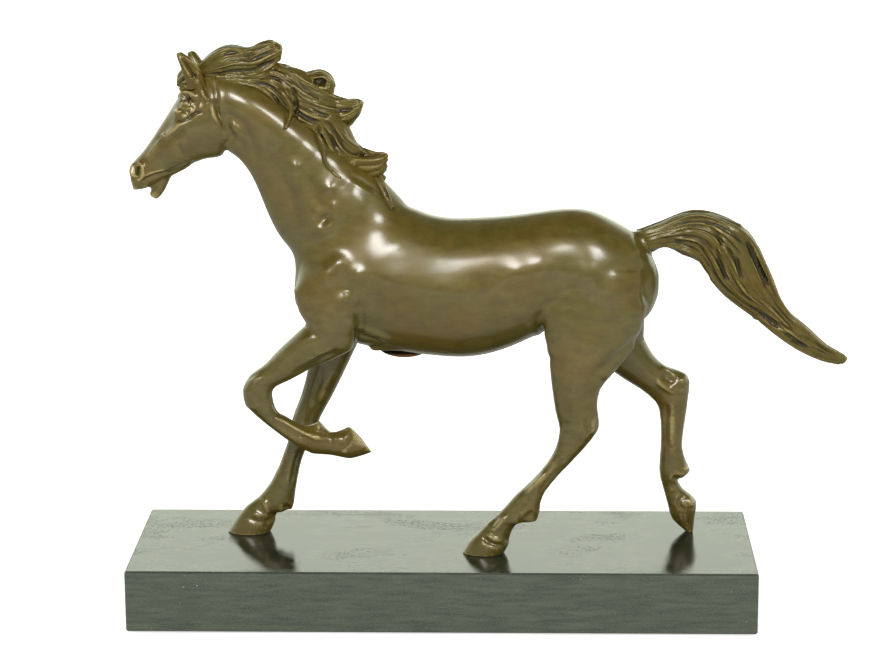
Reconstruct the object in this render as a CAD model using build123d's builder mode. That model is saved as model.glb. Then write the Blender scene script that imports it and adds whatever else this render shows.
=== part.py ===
from build123d import *
import os
from math import cos, pi, sin

# Bronze horse statue on a marble slab, in millimetres.
# X runs along the slab with the head at -X, Y runs across it with the horse's left side at -Y,
# and Z is up. The origin is the centre of the felt's underside.

# --- slab and felt ---
base_length = 300.0
base_width = 100.0
base_height = 30.0
base_arris = 0.8
felt_thickness = 1.0
felt_inset = 4.0

# --- the bronze ---
figure_height = 246.0      # slab top to the highest lock of the mane
drawn_height = 246.0       # the height that the sections below are drawn at
wall = 3.5                 # of the hollow castings
vent_length = 24.0         # oval core vent left open in the belly
vent_width = 11.0
vent_x = -20.0

# --- fastenings ---
stud_diameter = 4.0
stud_in_hoof = 9.0
stud_clearance = 0.3       # radial, in the slab's through hole
counterbore_diameter = 13.0
counterbore_depth = 9.0
washer_diameter = 10.0
washer_thickness = 1.0
nut_width = 7.0
nut_height = 3.2
stud_tail = 1.2            # thread left standing below the nut
toe_pin_diameter = 2.0
toe_pin_in_hoof = 6.0
toe_pin_in_slab = 10.0
dowel_diameter = 3.0
dowel_length = 12.0

# Each oval section is (front x, front z, rear x, rear z, middle y, half width), where front and rear
# are its two edge points in side view and z is counted up from the slab's top.
neck_joint = (-75, 150, -24.5, 176, 0, 16.5)
head_joint = (-103, 194.5, -101, 230, 0, 9.5)
tail_joint = (100.5, 144.3, 95.5, 155, 0, 5.7)
left_fore_joint = (-64, 112.6, -42.5, 100.3, -15, 9)
right_fore_joint = (-63.5, 100.5, -42, 95.5, 13.5, 8.8)
left_hind_joint = (51.3, 95.7, 82, 90, -17, 9.3)
right_hind_joint = (77, 86, 97.3, 98.8, 15.5, 9)

torso = [
    (-70.5, 122, -70.5, 139, 0, 6),
    (-67, 115.5, -67, 147, 0, 13),
    (-58, 109.5, -58, 154, 0, 18.5),
    (-45, 102, -45, 161.5, 0, 22),
    (-25, 97.5, -25, 168.5, 0, 23.5),
    (-5, 94.7, -5, 162.3, 0, 25),
    (15, 94.2, 15, 160.8, 0, 25.5),
    (35, 99.8, 35, 162.2, 0, 24),
    (52, 107, 52, 164.5, 0, 22.5),
    (70, 109, 70, 164.3, 0, 22.5),
    (86, 109, 86, 157, 0, 20),
    (96, 112, 96, 149.5, 0, 14.5),
    (101, 118, 101, 140.5, 0, 8.5),
    (103.2, 124, 103.2, 134, 0, 4),
]
neck_root = [(-67, 136, -10, 160, 0, 18), neck_joint]
tail_root = [(86, 141, 83, 153, 0, 6), tail_joint]
left_shoulder = [
    (-64, 143, -30, 147, -11, 10),
    (-70, 129, -36, 127, -13, 10.5),
    (-67.5, 119, -38, 113, -14.5, 10),
    left_fore_joint,
]
right_shoulder = [
    (-64, 143, -30, 147, 11, 10),
    (-69, 129, -35, 127, 13, 10.5),
    (-66, 114, -39, 111, 13.5, 10),
    right_fore_joint,
]
left_thigh = [
    (49, 140, 96, 138, -12, 10),
    (46, 121, 97, 119, -13, 11.5),
    (49.5, 107, 92, 101, -15.5, 10.5),
    left_hind_joint,
]
right_thigh = [
    (50, 141, 95, 139.5, 12, 10.2),
    (52, 119, 98.5, 118, 13, 11.5),
    (64, 103, 97.5, 108, 14.5, 10),
    right_hind_joint,
]
neck = [
    neck_joint,
    (-84, 168, -42, 191.5, 0, 13),
    (-90, 182, -61, 208, 0, 11),
    (-96, 190, -79, 221.5, 0, 10.5),
    head_joint,
]
skull = [
    head_joint,
    (-110.5, 190.3, -112, 230, 0, 10),
    (-117.5, 187.5, -121, 223.5, 0, 10.5),
    (-122, 184.5, -127.5, 214, 0, 9.8),
    (-127, 182, -133.5, 205, 0, 7.8),
    (-133, 178.5, -139.5, 196, 0, 6.3),
    (-140, 175.7, -145.5, 189, 0, 6),
    (-146.5, 174.3, -148, 183, 0, 4.2),
]
jaw = [
    (-121, 185, -126, 190, 0, 3.4),
    (-130, 178, -134.5, 181.5, 0, 2.8),
    (-132.3, 173.5, -137.5, 176.5, 0, 2.9),
    (-136, 169.8, -139.3, 172.2, 0, 2),
]
left_fore = [
    left_fore_joint,
    (-75, 102.2, -60.5, 91.5, -15, 7.6),
    (-85, 92, -72.5, 85, -14.8, 6.3),
    (-91.5, 87.3, -79.5, 81.5, -14.5, 6),
    (-95.3, 80, -81.2, 77.8, -14.2, 6.4),
    (-94.3, 72.3, -80.6, 73, -14, 6),
    (-88, 66, -78.8, 68.8, -14, 4.5),
    (-80, 59.3, -75.8, 67.2, -14, 4.2),
    (-70, 52, -66.5, 62, -14, 4.4),
    (-62, 48.2, -58.5, 64.3, -14, 5.8),
    (-53.5, 47.6, -53.5, 58.8, -14, 4.8),
    (-46.5, 46.2, -48, 60, -14, 6),
    (-42.5, 46.2, -46, 61, -14, 6.6),
    (-33.7, 49, -44.3, 61.9, -14, 7.2),
]
right_fore = [
    right_fore_joint,
    (-66, 83.5, -48.3, 82, 14, 7.4),
    (-69.6, 70, -55, 68.5, 14, 6.4),
    (-73.2, 60.8, -60.5, 58.5, 14, 6),
    (-75.6, 52.3, -63.3, 49.8, 14, 6),
    (-77.3, 43.3, -68.3, 41.3, 14, 4.4),
    (-80.6, 33.6, -71.2, 32, 14, 4.3),
    (-86, 24.5, -73.4, 20.5, 14, 5.2),
    (-91.5, 17.8, -75.3, 11.2, 14, 5.9),
    (-97.3, 13.4, -82.6, 10, 14, 5.4),
    (-102.3, 7.6, -83.5, 5.7, 14, 7),
    (-107.2, 0, -86, 0, 14, 8.2),
]
left_hind = [
    left_hind_joint,
    (52.5, 83.2, 75.6, 81.5, -17.6, 7.8),
    (54.3, 71, 74.2, 73, -18, 6.6),
    (55.9, 64.8, 75.1, 66, -18, 6.2),
    (56.2, 60, 74.3, 60.8, -18, 6),
    (54.6, 52.8, 67.3, 51.5, -18, 5.2),
    (50.5, 45, 57.5, 40.7, -18, 4),
    (43, 36, 50, 31.3, -18, 4.1),
    (35.5, 29, 47.3, 25, -18, 5),
    (29.5, 22, 45.5, 16, -18, 6),
    (23, 16, 36, 14.8, -18, 5),
    (16.5, 9.3, 32.6, 8, -18, 6.4),
    (13, 5.8, 32.2, 4.6, -18, 7.4),
    (9.5, 0, 29.8, 0, -18, 8),
]
right_hind = [
    right_hind_joint,
    (88, 78, 101.5, 90.8, 15.5, 7.8),
    (96, 73, 108, 84.5, 15.5, 6.8),
    (103.3, 66.8, 118.3, 80.5, 15.5, 6.3),
    (105.4, 61.5, 119.6, 71.5, 15.5, 5.8),
    (106.1, 53, 117.8, 56, 15.5, 5),
    (106.2, 43.5, 116.7, 44, 15.7, 4.6),
    (105.8, 35, 118.8, 36, 16, 5.2),
    (106, 29.2, 120.7, 31, 16, 5.8),
    (107.2, 24.5, 115.6, 26.3, 16, 4.1),
    (108.6, 19.5, 117.5, 22, 16, 4.4),
    (110.4, 13, 124, 16.2, 16.2, 6.2),
    (112.4, 6.5, 123.5, 8, 16.5, 5.6),
    (119.3, 0, 122.9, 0, 16.8, 3.2),
]
tail = [
    tail_joint,
    (106.5, 147, 104.5, 158.7, 0, 5.6),
    (114.5, 143.2, 114.5, 163, 0, 6.5),
    (123, 139.5, 128, 163, 0, 7),
    (128, 131, 142, 158, 0, 7.5),
    (133, 125, 151.5, 146, 0, 7.5),
    (142, 118, 156.5, 133, 0, 7),
    (150.5, 113, 160, 121.5, 0, 5.5),
    (157.5, 105.5, 166, 113, 0, 5),
    (167, 98.5, 174.5, 107.2, 0, 4.5),
    (179, 93, 184.5, 97.8, 0, 3),
    (190, 89.4, 192.5, 94, 0, 1.8),
    (193.3, 90.3, 194.4, 92.8, 0, 1),
]
locks = {
    "left_ear": [
        (-119, 223.5, -109.5, 225, -5.5, 3.4),
        (-120.8, 231.3, -113, 232.8, -7, 3.2),
        (-122.6, 237, -117, 238.3, -7.8, 2.3),
        (-123.6, 240.8, -121.3, 241.5, -8, 0.9),
    ],
    "right_ear": [
        (-117.5, 223.5, -108.5, 225, 5.5, 3.4),
        (-118.5, 230.5, -111.5, 232, 7, 3.2),
        (-119.8, 235.5, -114.8, 237, 7.8, 2.3),
        (-120.3, 239, -118.2, 239.8, 8, 0.9),
    ],
    "forelock": [
        (-113, 225, -115, 233, 0, 3.5),
        (-118, 221.5, -120.5, 231.8, 0, 4.6),
        (-121.5, 220.5, -124, 226.5, 0, 2.8),
    ],
    "poll_lock": [
        (-113, 227, -116, 233.5, 0, 3),
        (-106, 229, -108.5, 239.8, 0, 4.8),
        (-97, 229, -98, 243.3, 0, 5.8),
        (-88, 229, -88, 242.5, 0, 5.2),
        (-80, 233, -80, 245.2, 0, 4),
        (-75.3, 236.3, -74.3, 242.3, 0, 2),
    ],
    "mane_crest": [
        (-108, 224, -109, 231.5, 0, 3.5),
        (-97, 222, -97, 231.8, 0, 4.8),
        (-86, 218, -83, 232.5, 0, 6.3),
        (-77, 210, -70, 233.2, 0, 7),
        (-66, 202, -56, 225.5, 0, 7.3),
        (-57, 191, -46, 211, 0, 7),
        (-49.5, 182.5, -40.5, 198.5, 0, 6),
        (-38, 177, -31.5, 185.5, 0, 4.5),
        (-30, 173.5, -26, 180.5, 0, 3),
    ],
    "curl_lock": [
        (-75, 225, -73, 233.5, 0, 4),
        (-65, 221.5, -64.5, 229.3, 0, 3.7),
        (-57, 219, -56.5, 231, 0, 4.5),
        (-51.2, 219.5, -50.3, 226.5, 0, 3),
    ],
    "middle_lock": [
        (-60, 207, -60, 219, 0, 4.5),
        (-50, 205.5, -49.5, 218, 0, 4.5),
        (-42.5, 206.5, -41.5, 217.5, 0, 3.8),
        (-38, 211, -36.2, 216.5, 0, 1.8),
    ],
    "lower_lock": [
        (-51, 183.5, -50, 195, -1, 4.5),
        (-43, 181.3, -42, 195, -1, 5),
        (-34, 180.4, -33, 192.5, -1, 4.5),
        (-27.7, 182.5, -25.3, 192.5, -1, 2.8),
    ],
    "withers_strand": [
        (-31, 181.5, -26.5, 181.5, -5, 1.8),
        (-27.5, 174, -24, 175, -8.5, 1.6),
        (-24, 164.3, -22, 165.5, -10.5, 0.9),
    ],
    "left_upper_lock": [
        (-78, 221, -71.5, 225.5, -7.5, 2.6),
        (-75.8, 215, -70, 215.6, -9.5, 2.2),
        (-74, 206, -70, 205.5, -11, 1.4),
    ],
    "left_lower_lock": [
        (-59.5, 202, -54, 205.5, -7, 2.6),
        (-57, 194, -51.5, 195.2, -9, 2.3),
        (-53, 185, -48.2, 185.8, -9.5, 1.6),
    ],
    "right_upper_lock": [
        (-82, 219, -75, 223.5, 7.5, 2.8),
        (-80.5, 212, -74, 213, 10, 2.3),
        (-78.5, 203, -74.5, 202.5, 11, 1.4),
    ],
    "right_lower_lock": [
        (-64, 203, -58, 207, 8, 2.7),
        (-62, 194, -56, 195, 10.3, 2.3),
        (-58.5, 184, -54.5, 184.5, 11.5, 1.4),
    ],
}

pinned_joints = [tail_joint, left_fore_joint, right_fore_joint, left_hind_joint, right_hind_joint, head_joint]

slab_top = felt_thickness + base_height
scale_up = figure_height / drawn_height
oval_points = 8


def edge_points(section):
    """The section's front and rear edge points in the row frame."""
    front_x, front_z, rear_x, rear_z, y, half_width = section
    front = Vector(front_x * scale_up, y * scale_up, slab_top + front_z * scale_up)
    rear = Vector(rear_x * scale_up, y * scale_up, slab_top + rear_z * scale_up)
    return front, rear


def section_plane(section):
    """The plane of a section, centred on it, with X from its front edge to its rear one."""
    front, rear = edge_points(section)
    along = (rear - front).normalized()
    return Plane(origin=(front + rear) / 2, x_dir=along, z_dir=(-along.Z, 0, along.X))


def ovals(sections, thinner=0.0):
    """Each section as a closed oval face, drawn smaller all round by the wall on the inside."""
    faces = []
    for section in sections:
        front, rear = edge_points(section)
        half_depth = (rear - front).length / 2 - thinner
        half_width = section[5] * scale_up - thinner
        with BuildSketch(section_plane(section)) as oval:
            with BuildLine():
                turns = [2 * pi * i / oval_points for i in range(oval_points)]
                Spline(*[(-half_depth * cos(t), half_width * sin(t)) for t in turns], periodic=True)
            make_face()
        faces.append(oval.sketch.face())
    return faces


def shaped(sections):
    """Adds an in-between section to each span, on a smooth curve through its neighbours."""
    ends = [
        [2 * a - b for a, b in zip(sections[0], sections[1])],
        [2 * a - b for a, b in zip(sections[-1], sections[-2])],
    ]
    line = [ends[0], *sections, ends[1]]
    result = []
    for before, here, there, after in zip(line, line[1:], line[2:], line[3:]):
        middle = [(9 * (b + c) - a - d) / 16 for a, b, c, d in zip(before, here, there, after)]
        result += [here, middle]
    return [*result, sections[-1]]


def write(builder, name):
    """Labels a finished piece and writes its STEP file."""
    builder.part.label = name
    export_step(builder.part, f"parts/{name}.step")


def hoof_centre(section, height=slab_top):
    """The middle of the sole that a leg stands on, at a height in the row frame."""
    front, rear = edge_points(section)
    return Vector((front.X + rear.X) / 2, (front.Y + rear.Y) / 2, height)


os.makedirs("parts", exist_ok=True)
studded_hooves = [right_fore[-1], left_hind[-1]]

# --- the body casting, hollow, with the roots of the neck, tail and legs on it ---
with BuildPart() as body_casting:
    loft(ovals(torso))
    for sections in (neck_root, tail_root, left_shoulder, right_shoulder, left_thigh, right_thigh):
        loft(ovals(sections), ruled=True)
    loft(ovals(torso[2:-2], wall), mode=Mode.SUBTRACT)
    loft(ovals(neck_root, wall), mode=Mode.SUBTRACT)
    with BuildSketch(Plane.XY.offset(slab_top)) as vent:
        with Locations((vent_x * scale_up, 0)):
            Ellipse(vent_length / 2, vent_width / 2)
    extrude(amount=drawn_height / 2 * scale_up, mode=Mode.SUBTRACT)
    for joint in pinned_joints[:-1]:
        with Locations(section_plane(joint)):
            Cylinder(dowel_diameter / 2, dowel_length, mode=Mode.SUBTRACT)
write(body_casting, "body_casting")

# --- the neck, whose ring-shaped ends meet the body and the head ---
with BuildPart() as neck_casting:
    loft(ovals(neck))
    loft(ovals(neck[:-1], wall), mode=Mode.SUBTRACT)
    with Locations(section_plane(head_joint)):
        Cylinder(dowel_diameter / 2, dowel_length, mode=Mode.SUBTRACT)
write(neck_casting, "neck_casting")

# --- the head, solid, with its lower jaw ---
with BuildPart() as head_casting:
    loft(ovals(skull))
    loft(ovals(jaw))
    with Locations(section_plane(head_joint)):
        Cylinder(dowel_diameter / 2, dowel_length, mode=Mode.SUBTRACT)
write(head_casting, "head_casting")

# --- the tail and the four legs, solid castings pinned to the body ---
# A leg that folds back on itself is lofted in stretches that share a section.
limbs = {
    "tail_casting": ([tail[:5], tail[4:9], tail[8:]], tail_joint, None),
    "left_fore_leg": ([left_fore[:6], left_fore[5:10], left_fore[9:]], left_fore_joint, None),
    "right_fore_leg": ([right_fore], right_fore_joint, "stud"),
    "left_hind_leg": ([left_hind], left_hind_joint, "stud"),
    "right_hind_leg": ([right_hind], right_hind_joint, "pin"),
}
fastener_bores = {"stud": (stud_diameter, stud_in_hoof), "pin": (toe_pin_diameter, toe_pin_in_hoof)}
for name, (stretches, joint, fastener) in limbs.items():
    with BuildPart() as limb:
        for sections in stretches:
            loft(ovals(shaped(sections)), ruled=True)
        with Locations(section_plane(joint)):
            Cylinder(dowel_diameter / 2, dowel_length, mode=Mode.SUBTRACT)
        if fastener:
            diameter, depth = fastener_bores[fastener]
            with Locations(hoof_centre(stretches[-1][-1])):
                Cylinder(diameter / 2, 2 * depth, mode=Mode.SUBTRACT)
    write(limb, name)

# --- the ears, the forelock and the locks of the mane, each seated on what it grows from ---
seats = []
for sections in (skull, neck, neck_root, torso):
    with BuildPart() as form:
        loft(ovals(sections))
    seats.append(form.part)
for name, sections in locks.items():
    with BuildPart() as lock:
        loft(ovals(sections))
        reach = lock.part.bounding_box()
        near = [seat for seat in seats if reach.overlaps(seat.bounding_box())]
        add(near, mode=Mode.SUBTRACT)
        add(lock.solids().sort_by(SortBy.VOLUME)[-1], mode=Mode.REPLACE)
    seats.append(lock.part)
    write(lock, name)

# --- dowels that line up the castings at their joints ---
with BuildPart() as joint_dowels:
    for joint in pinned_joints:
        with Locations(section_plane(joint)):
            Cylinder(dowel_diameter / 2, dowel_length)
write(joint_dowels, "joint_dowels")

# --- the marble slab, counterbored from below for the two studs ---
with BuildPart() as marble_base:
    with BuildSketch(Plane.XY.offset(felt_thickness)):
        Rectangle(base_length, base_width)
    extrude(amount=base_height)
    chamfer(marble_base.edges(), base_arris)
    for hoof in studded_hooves:
        with Locations(Plane(hoof_centre(hoof, felt_thickness), z_dir=(0, 0, -1))):
            CounterBoreHole(
                stud_diameter / 2 + stud_clearance, counterbore_diameter / 2, counterbore_depth, base_height
            )
    with Locations(hoof_centre(right_hind[-1])):
        Cylinder(toe_pin_diameter / 2, 2 * toe_pin_in_slab, mode=Mode.SUBTRACT)
write(marble_base, "marble_base")

with BuildPart() as base_felt:
    with BuildSketch():
        Rectangle(base_length - 2 * felt_inset, base_width - 2 * felt_inset)
    extrude(amount=felt_thickness)
write(base_felt, "base_felt")

# --- the fastenings: from the counterbore's floor down, a washer and a nut on each stud ---
seat_height = felt_thickness + counterbore_depth
nut_top = seat_height - washer_thickness
with BuildPart() as mounting_washers:
    with BuildSketch(Plane.XY.offset(nut_top)):
        with Locations(*[hoof_centre(hoof, 0) for hoof in studded_hooves]):
            Circle(washer_diameter / 2)
            Circle(stud_diameter / 2, mode=Mode.SUBTRACT)
    extrude(amount=washer_thickness)
write(mounting_washers, "mounting_washers")

with BuildPart() as mounting_nuts:
    with BuildSketch(Plane.XY.offset(nut_top)):
        with Locations(*[hoof_centre(hoof, 0) for hoof in studded_hooves]):
            RegularPolygon(nut_width / 2, 6, major_radius=False)
            Circle(stud_diameter / 2, mode=Mode.SUBTRACT)
    extrude(amount=-nut_height)
write(mounting_nuts, "mounting_nuts")

stud_foot = nut_top - nut_height - stud_tail
with BuildPart() as mounting_studs:
    with BuildSketch(Plane.XY.offset(stud_foot)):
        with Locations(*[hoof_centre(hoof, 0) for hoof in studded_hooves]):
            Circle(stud_diameter / 2)
    extrude(amount=slab_top + stud_in_hoof - stud_foot)
write(mounting_studs, "mounting_studs")

with BuildPart() as toe_pin:
    with BuildSketch(Plane.XY.offset(slab_top - toe_pin_in_slab)):
        with Locations(hoof_centre(right_hind[-1], 0)):
            Circle(toe_pin_diameter / 2)
    extrude(amount=toe_pin_in_slab + toe_pin_in_hoof)
write(toe_pin, "toe_pin")
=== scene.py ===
import math
from contextlib import contextmanager
import bmesh
import bpy
import numpy as np
from mathutils import Matrix, Vector
from mathutils.bvhtree import BVHTree
from mathutils.interpolate import poly_3d_calc


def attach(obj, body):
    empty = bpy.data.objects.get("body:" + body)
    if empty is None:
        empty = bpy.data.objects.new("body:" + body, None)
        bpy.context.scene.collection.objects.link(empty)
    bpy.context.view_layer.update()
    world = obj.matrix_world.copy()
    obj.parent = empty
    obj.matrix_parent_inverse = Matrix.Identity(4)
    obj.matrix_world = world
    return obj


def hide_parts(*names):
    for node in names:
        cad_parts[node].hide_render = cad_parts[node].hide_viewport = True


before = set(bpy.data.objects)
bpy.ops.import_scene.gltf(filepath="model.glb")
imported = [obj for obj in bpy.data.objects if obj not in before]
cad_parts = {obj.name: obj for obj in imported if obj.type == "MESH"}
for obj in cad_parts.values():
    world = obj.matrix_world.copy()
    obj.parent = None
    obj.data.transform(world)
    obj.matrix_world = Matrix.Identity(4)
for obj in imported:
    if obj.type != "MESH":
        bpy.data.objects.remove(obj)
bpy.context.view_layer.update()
bpy.ops.object.select_all(action="DESELECT")

# --- camera ---
# A long lens a little over a metre away, looking slightly down on the horse's left side.
camera_place = Vector((0.0402, -1.2942, 0.450))
look_left, look_down, tilt = math.radians(1.86), math.radians(13.57), math.radians(-0.34)
camera_data = bpy.data.cameras.new("camera")
camera_data.sensor_width = 36.0
camera_data.lens = 113.8
camera = bpy.data.objects.new("camera", camera_data)
bpy.context.scene.collection.objects.link(camera)
camera.matrix_world = (
    Matrix.Translation(camera_place)
    @ Matrix.Rotation(look_left, 4, "Z")
    @ Matrix.Rotation(math.pi / 2 - look_down, 4, "X")
    @ Matrix.Rotation(tilt, 4, "Z")
)
bpy.context.scene.camera = camera

# --- stage: floor, surroundings and lamps ---
# A white table that runs out of sight, a white room seen behind it, and soft boxes above and in front.
bpy.context.scene.view_settings.view_transform = "Standard"


class Nodes:
    """The nodes of a material, world or node group, made by plain calls that give back what they put out."""

    def __init__(self, tree):
        self.tree = tree

    def add(self, kind, settings=None, **inputs):
        """Makes a node: its settings, and a value or a wire for each input, by name or as i and a number."""
        made = self.tree.nodes.new("ShaderNode" + kind)
        for key, value in (settings or {}).items():
            setattr(made, key, value)
        for key, value in inputs.items():
            numbered = key[0] == "i" and key[1:].isdigit()
            socket = made.inputs[int(key[1:]) if numbered else key.replace("_", " ")]
            if isinstance(value, bpy.types.NodeSocket):
                self.tree.links.new(value, socket)
            else:
                socket.default_value = value
        return made

    def place(self):
        return self.add("TexCoord").outputs["Object"]

    def stretched(self, place, scale):
        return self.add("Mapping", Vector=place, Scale=scale).outputs[0]

    def noise(self, place, scale, detail, roughness=0.5, distortion=0.0):
        made = self.add("TexNoise", Vector=place, Scale=scale, Detail=detail, Roughness=roughness)
        made.inputs["Distortion"].default_value = distortion
        return made.outputs["Fac"]

    def spread(self, value, low=0.0, high=1.0, to_low=0.0, to_high=1.0):
        """A value carried from one range to another, and held inside it."""
        made = self.add("MapRange", Value=value, From_Min=low, From_Max=high, To_Min=to_low, To_Max=to_high)
        return made.outputs[0]

    def maths(self, operation, *values):
        numbered = {f"i{i}": value for i, value in enumerate(values)}
        return self.add("Math", {"operation": operation}, **numbered).outputs[0]

    def mix(self, share, one, other):
        """A colour between two colours."""
        return self.add("Mix", {"data_type": "RGBA"}, Factor=share, i6=one, i7=other).outputs[2]

    def level(self, share, one, other):
        """A number between two numbers."""
        return self.add("Mix", {"data_type": "FLOAT"}, Factor=share, A=one, B=other).outputs[0]

    def bump(self, height, strength, distance, **onto):
        return self.add("Bump", Height=height, Strength=strength, Distance=distance, **onto).outputs[0]

    def principled(self, **inputs):
        """The material's shader, wired to its output."""
        self.add("OutputMaterial", Surface=self.add("BsdfPrincipled", **inputs).outputs[0])


def emptied(material_or_world):
    """The node tree of a material or a world, with nothing in it yet."""
    material_or_world.use_nodes = True
    material_or_world.node_tree.nodes.clear()
    return Nodes(material_or_world.node_tree)


room = bpy.data.worlds.new("room")
bpy.context.scene.world = room
sky = emptied(room)
towards = sky.add("SeparateXYZ", Vector=sky.add("TexCoord").outputs["Generated"])
behind = sky.spread(towards.outputs["Y"], -0.1, 0.45, 0.62, 2.0)
above = sky.spread(towards.outputs["Z"], 0.5, 0.64, 1.0, 0.1)
seen_ray = sky.add("LightPath").outputs["Is Camera Ray"]
ray_strength = sky.level(seen_ray, sky.maths("MULTIPLY", behind, above), 1.0)
tint = sky.mix(seen_ray, (0.94, 1.0, 0.83, 1), (1, 1, 1, 1))
surround = sky.add("Background", Color=tint, Strength=ray_strength)
sky.add("OutputWorld", Surface=surround.outputs[0])

bpy.ops.mesh.primitive_plane_add(size=12, location=(0, 0, -0.0002))
floor = bpy.context.object
floor.name = "floor"
bpy.ops.object.transform_apply(location=True)
paper = bpy.data.materials.new("white_paper")
look = emptied(paper)
from_middle = look.add("VectorMath", {"operation": "LENGTH"}, Vector=look.place()).outputs["Value"]
far_glow = look.spread(from_middle, 0.2, 0.7, 0.7, 1.0)
seen_glow = look.maths("MULTIPLY", far_glow, look.add("LightPath").outputs["Is Camera Ray"])
matt = look.add("BsdfDiffuse", Color=(0.8, 0.8, 0.8, 1))
glow = look.add("Emission", Color=(1, 1, 1, 1), Strength=seen_glow)
both = look.add("AddShader", i0=matt.outputs[0], i1=glow.outputs[0])
look.add("OutputMaterial", Surface=both.outputs[0])
floor.data.materials.append(paper)


def softbox(name, place, aim, width, height, watts):
    """A square soft light at a place, turned to face a point."""
    lamp = bpy.data.lights.new(name, "AREA")
    lamp.shape, lamp.size, lamp.size_y, lamp.energy = "RECTANGLE", width, height, watts
    holder = bpy.data.objects.new(name, lamp)
    bpy.context.scene.collection.objects.link(holder)
    holder.location = place
    holder.rotation_mode = "QUATERNION"
    holder.rotation_quaternion = (Vector(aim) - Vector(place)).to_track_quat("-Z", "Y")


horse_middle = Vector((0.02, 0, 0.15))
softbox("left_box", (-0.32, -1.44, 1.22), horse_middle, 0.6, 0.38, 19)
softbox("right_box", (0.68, -1.33, 1.22), horse_middle, 0.4, 0.38, 12)

# --- marble slab ---
# Sawn and polished grey-green marble. Its sides are honed. Its top has a mirror polish under a thin film
# of dust, thick in streaks along it and touched away round the three feet.
MM = 0.001
stone = bpy.data.materials.new("grey_green_marble")
look = emptied(stone)
place = look.place()
upward = look.add("SeparateXYZ", Vector=look.add("NewGeometry").outputs["Normal"]).outputs["Z"]
polished = look.spread(upward, 0.6, 0.9)
clouds = look.add("ValToRGB", Fac=look.noise(look.stretched(place, (1, 1, 9)), 55, 7, 0.72))
dark_end, light_end = clouds.color_ramp.elements
dark_end.position, dark_end.color = 0.36, (0.036, 0.044, 0.031, 1)
light_end.position, light_end.color = 0.68, (0.078, 0.09, 0.064, 1)
grain = look.noise(place, 1400, 3, 0.7)
honed = look.mix(look.spread(grain, 0.52, 0.74), clouds.outputs[0], (0.13, 0.142, 0.112, 1))
vein = look.noise(look.stretched(place, (1, 1, 12)), 30, 9, 0.62, 0.4)
off_vein = look.maths("ABSOLUTE", look.maths("SUBTRACT", vein, 0.5))
vein_line = look.maths("MULTIPLY", look.spread(off_vein, 0.0, 0.006, 1.0, 0.0), 0.35)
veined = look.mix(vein_line, honed, (0.17, 0.18, 0.15, 1))
chip_cell = look.add("TexVoronoi", Vector=place, Scale=260, Randomness=1.0).outputs["Distance"]
chip_spot = look.spread(chip_cell, 0.05, 0.12, 1.0, 0.0)
chip_area = look.spread(look.noise(place, 90, 2), 0.56, 0.66)
flecked = look.mix(look.maths("MULTIPLY", chip_spot, chip_area), veined, (0.5, 0.5, 0.43, 1))
film = look.spread(look.noise(look.stretched(place, (1, 2.4, 1)), 26, 5, 0.6), 0.4, 0.62)
half_deep = look.stretched(place, (1, 0.5, 0))
for foot_x, foot_y in ((-82, -14), (28, -38), (116, -16)):
    foot = (foot_x * MM, foot_y * MM * 0.5, 0)
    off_foot = look.add("VectorMath", {"operation": "DISTANCE"}, i0=half_deep, i1=foot).outputs["Value"]
    film = look.maths("MULTIPLY", film, look.spread(off_foot, 0.014, 0.034, 0.12))
speck = look.spread(look.noise(place, 640, 6, 0.8), 0.45, 0.6)
gritty = look.maths("MULTIPLY", film, speck)
dust = look.spread(gritty, to_low=0.01, to_high=0.2)
mirror = look.mix(dust, (0.010, 0.014, 0.009, 1), (0.3, 0.34, 0.26, 1))
pitted = look.bump(grain, 0.25, 0.0001)
look.principled(
    Base_Color=look.mix(polished, flecked, mirror),
    Roughness=look.level(polished, 0.42, look.spread(gritty, to_low=0.035, to_high=0.42)),
    Normal=look.bump(speck, look.maths("MULTIPLY", film, polished), 0.00007, Normal=pitted),
    IOR=1.58,
)


def dress(node, material):
    """Gives a CAD node its material."""
    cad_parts[node].data.materials.clear()
    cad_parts[node].data.materials.append(material)


dress("marble_base", stone)

# --- bronze castings: one smooth skin over the body, neck, head and legs ---
# The sections are cast apart, set face to face, welded and chased until no seam shows, so their
# outside is shaped here as one skin and parted again at the joints at the end.
castings = [
    "body_casting", "neck_casting", "head_casting",
    "left_fore_leg", "right_fore_leg", "left_hind_leg", "right_hind_leg",
]
skin_voxel = 0.92 * MM
touching = 0.02 * MM


def add_mesh(name, mesh):
    """A new object at the origin that holds a mesh."""
    piece = bpy.data.objects.new(name, mesh)
    bpy.context.scene.collection.objects.link(piece)
    return piece


@contextmanager
def edited(mesh):
    """A mesh opened for editing, and written back at the end."""
    shape = bmesh.new()
    shape.from_mesh(mesh)
    yield shape
    shape.to_mesh(mesh)
    shape.free()


def merged_copy(nodes, name):
    """The CAD nodes' surfaces in one new object, with their loose triangles joined up."""
    piece = add_mesh(name, bpy.data.meshes.new(name))
    with edited(piece.data) as shape:
        for cad_node in nodes:
            shape.from_mesh(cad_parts[cad_node].data)
        bmesh.ops.remove_doubles(shape, verts=shape.verts, dist=0.001 * MM)
    return piece


def apply_modifier(piece, kind, **settings):
    """Adds a modifier with its settings and applies it."""
    modifier = piece.modifiers.new(kind, kind)
    for key, value in settings.items():
        setattr(modifier, key, value)
    with bpy.context.temp_override(object=piece, active_object=piece, selected_objects=[piece]):
        bpy.ops.object.modifier_apply(modifier=modifier.name)


def points_of(mesh, kind="co"):
    """The vertices' places or normals as an array."""
    flat = np.zeros(len(mesh.vertices) * 3)
    if kind == "co":
        mesh.vertices.foreach_get("co", flat)
    else:
        mesh.vertex_normals.foreach_get("vector", flat)
    return flat.reshape(-1, 3)


def set_points(mesh, points):
    """Moves a mesh's vertices to new places."""
    mesh.vertices.foreach_set("co", points.astype(np.float32).ravel())
    mesh.update()


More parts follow.
